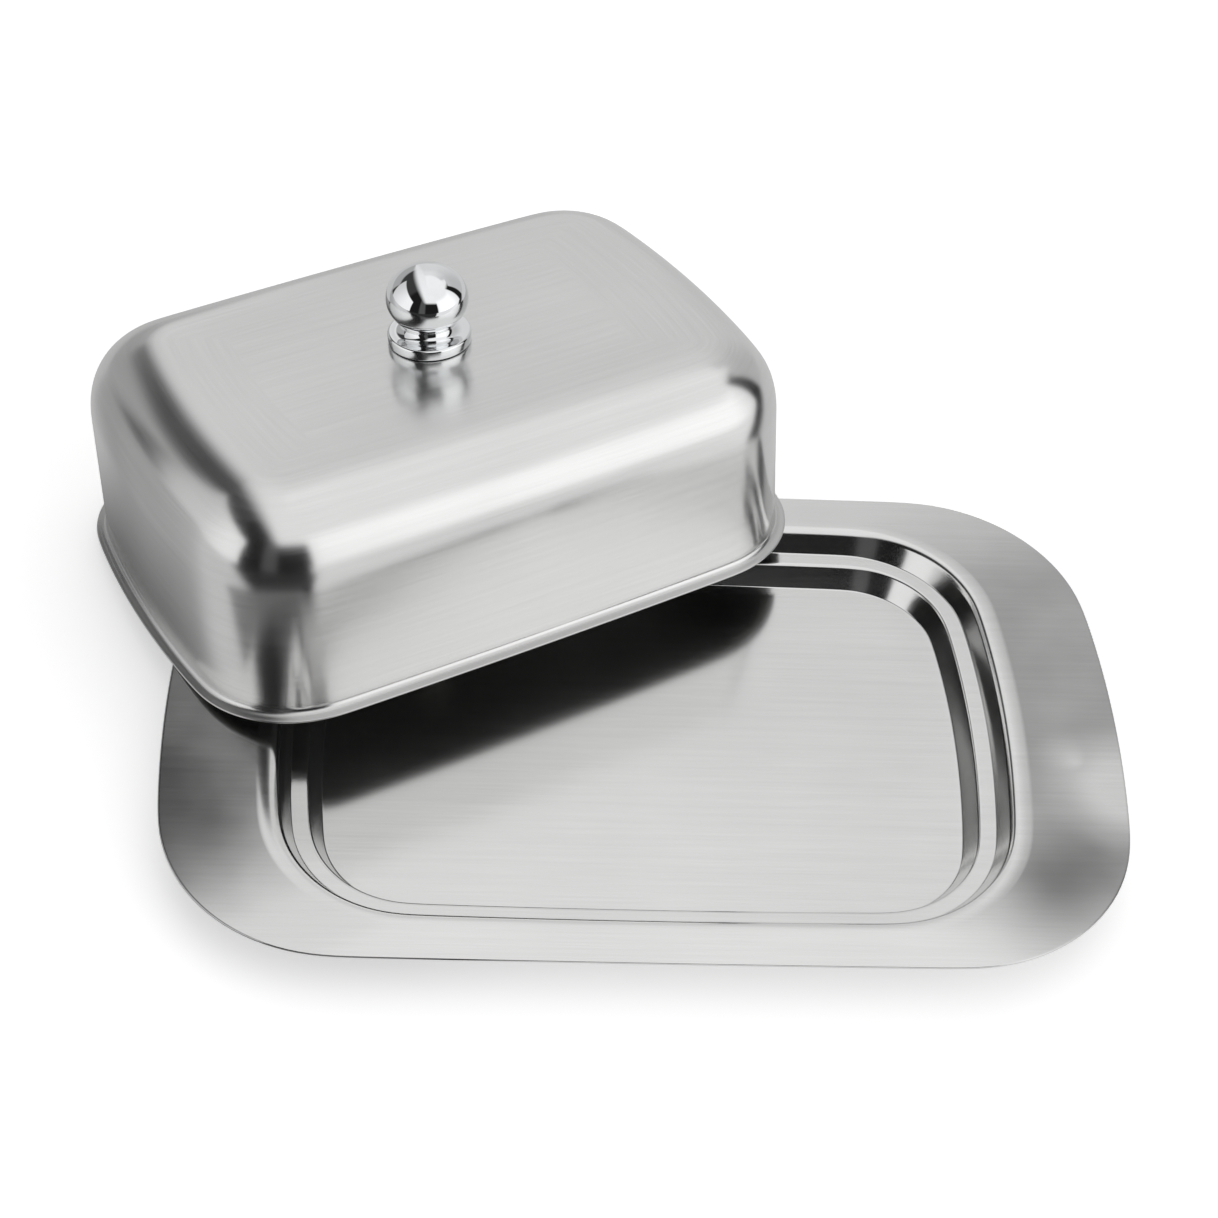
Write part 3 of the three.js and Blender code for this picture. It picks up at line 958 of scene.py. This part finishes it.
def left_panel(sums, x, y, z):
    """A tall light to the left, brighter towards its near side: its mask and its level."""
    left = sums.maths("MAXIMUM", sums.maths("MULTIPLY", x, -1.0), MIN_SLOPE)
    along, up = (sums.maths("DIVIDE", way, left) for way in (y, z))
    slant = sums.maths("SUBTRACT", along, sums.maths("MULTIPLY", up, LEFT_PANEL.far_slant))
    mask = sums.product(
        sums.ramp(along, LEFT_PANEL.near),
        sums.fall(slant, LEFT_PANEL.far),
        sums.fall(up, LEFT_PANEL.top),
    )
    return mask, sums.ramp(along, LEFT_PANEL.fade, LEFT_PANEL.levels)


def overhead_panel(sums, x, y, z):
    """A wide light overhead that runs on down the back: its mask and its level."""
    height = sums.maths("MAXIMUM", z, MIN_SLOPE)
    over_x, over_y = (sums.maths("DIVIDE", way, height) for way in (x, y))
    slant = sums.maths("MULTIPLY_ADD", over_y, OVERHEAD_PANEL.left_slant, over_x)
    mask = sums.product(
        sums.ramp(slant, OVERHEAD_PANEL.left),
        sums.fall(over_x, OVERHEAD_PANEL.right),
        sums.ramp(over_y, OVERHEAD_PANEL.front),
    )
    return mask, sums.ramp(over_y, OVERHEAD_PANEL.fade, OVERHEAD_PANEL.levels)


def back_lights(sums, azimuth, elevation):
    """The lit back, lower at its right-hand end: its mask and its level."""
    full_height = sums.ramp(azimuth, BACK.full_height)
    right = sums.product(
        sums.ramp(azimuth, BACK.right),
        sums.maths("MAXIMUM", full_height, sums.fall(elevation, BACK.low_top)),
    )
    mask = sums.maths("MAXIMUM", right, sums.fall(azimuth, BACK.left))
    by_height = sums.maths(
        "MULTIPLY",
        sums.ramp(elevation, BACK.low_fade, BACK.low_levels),
        sums.ramp(elevation, BACK.high_fade, BACK.high_levels),
    )
    turned = sums.maths("ABSOLUTE", azimuth)
    return mask, sums.maths("MULTIPLY", sums.ramp(turned, BACK.fade, BACK.levels), by_height)


def right_panel(sums, azimuth, elevation):
    """A tall light to the right, brightest in its low middle: its mask and its level."""
    off_middle = sums.maths("ABSOLUTE", sums.maths("SUBTRACT", azimuth, RIGHT_PANEL.middle))
    level = sums.maths(
        "MINIMUM",
        sums.ramp(off_middle, RIGHT_PANEL.fade, RIGHT_PANEL.levels),
        sums.ramp(elevation, RIGHT_PANEL.high_fade, RIGHT_PANEL.high_levels),
    )
    return sums.between(azimuth, RIGHT_PANEL.span, RIGHT_PANEL.edge), level


def make_world():
    """The studio round the dish, as a soft-edged light for each direction: a wide light
    overhead that runs on down the back, a tall light on either side, and the dark room
    round the camera and in the gaps between the lights."""
    world = bpy.data.worlds.new("studio")
    bpy.context.scene.world = world
    world.use_nodes = True
    sums = Sums(world.node_tree)
    background = world.node_tree.nodes["Background"]
    direction = sums.axes(sums.coordinates("Generated"))
    sums.put_in(background.inputs["Color"], room_level(sums, *direction))
    background.inputs["Strength"].default_value = 1.0


# ------------------------------------------------------------------ assembly

tray_steel = brushed_steel("brushed_steel_tray", TRAY_ROUGHNESS)
cover_steel = brushed_steel("brushed_steel_cover", COVER_ROUGHNESS)
chrome = polished_metal(
    "chrome", CHROME, roughness=0.02, spread=0.02, grain_scale=900.0, relief_depth=0.000001
)
plain = polished_metal(
    "plain_steel", PLAIN, roughness=0.28, spread=0.12, grain_scale=2200.0, relief_depth=0.000006
)

on_table = Matrix.Identity(4)
set_aside = cover_place()
for make, place, body, node_name, slot_name, material in (
    (make_tray, on_table, "tray", "tray", "brushed_steel", tray_steel),
    (make_dome, set_aside, "cover", "cover_dome", "brushed_steel", cover_steel),
    (make_knob, set_aside, "cover", "knob", "chrome", chrome),
    (make_washer, set_aside, "cover", "knob_washer", "plain_steel", plain),
    (make_screw, set_aside, "cover", "knob_screw", "plain_steel", plain),
):
    made = put(make(), place, body, node_name)
    made.data.materials.clear()
    made.data.materials.append(material)

make_camera()
make_floor()
make_table_glow()
make_backdrop()
make_world()

bpy.context.scene.view_settings.view_transform = "Standard"
